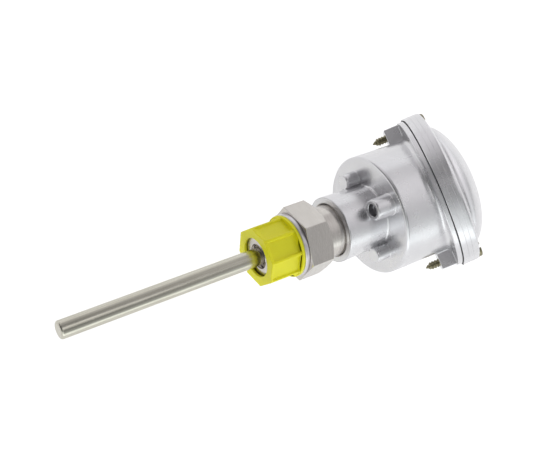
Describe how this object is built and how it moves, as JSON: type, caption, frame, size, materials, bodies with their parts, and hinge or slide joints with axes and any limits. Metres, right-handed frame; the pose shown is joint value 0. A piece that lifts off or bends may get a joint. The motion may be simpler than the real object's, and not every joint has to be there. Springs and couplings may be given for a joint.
{
  "type": "resistance thermometer probe",
  "caption": "Metal-sheathed resistance thermometer with hexagonal process fitting, capped thread and a die-cast round connection head with a sloping screwed lid.",
  "frame": {"origin": "centre of the process fitting's sealing face, on the stem's axis", "axes": "+X along the stem from its tip towards the head; +Z towards the low side of the sloping lid; the cable entry faces -Z"},
  "size_m": [0.2204, 0.0756, 0.0721],
  "materials": {
    "stem_steel": "satin drawn stainless steel",
    "fitting_steel": "turned stainless steel",
    "washer_metal": "plain aluminium sealing washer",
    "cap_plastic": "soft translucent yellow polyethylene",
    "cast_alloy": "silver-lacquered die-cast aluminium",
    "seal_rubber": "black rubber",
    "screw_steel": "plated steel screws",
    "ceramic": "off-white steatite",
    "brass": "nickel-free brass",
    "lead_red": "red insulation",
    "lead_white": "white insulation",
    "resin": "potting resin",
    "platinum_lead": "bare nickel-plated wire"
  },
  "bodies": {
    "probe": {"protection_tube": "stem_steel", "tube_plug": "resin", "sensing_element": "ceramic", "insulator": "ceramic", "inner_conductors": "platinum_lead", "leads_red": "lead_red", "leads_white": "lead_white", "process_fitting": "fitting_steel", "sealing_washer": "washer_metal", "head_body": "cast_alloy", "terminal_block": "ceramic", "terminal_clamps": "brass", "terminal_screws": "screw_steel", "block_screws": "screw_steel", "block_washers": "screw_steel", "earth_screw": "screw_steel", "earth_washer": "brass"},
    "cap": {"thread_cap": "cap_plastic"},
    "lid": {"lid": "cast_alloy", "lid_gasket": "seal_rubber", "lid_screws": "screw_steel"}
  },
  "joints": [
    {"name": "cap_pull", "type": "slide", "parent": "probe", "child": "cap", "axis": [-1, 0, 0], "range_m": [0, 0.12]},
    {"name": "lid_lift", "type": "slide", "parent": "probe", "child": "lid", "axis": [0.8572, 0, 0.515], "range_m": [0, 0.05]}
  ]
}
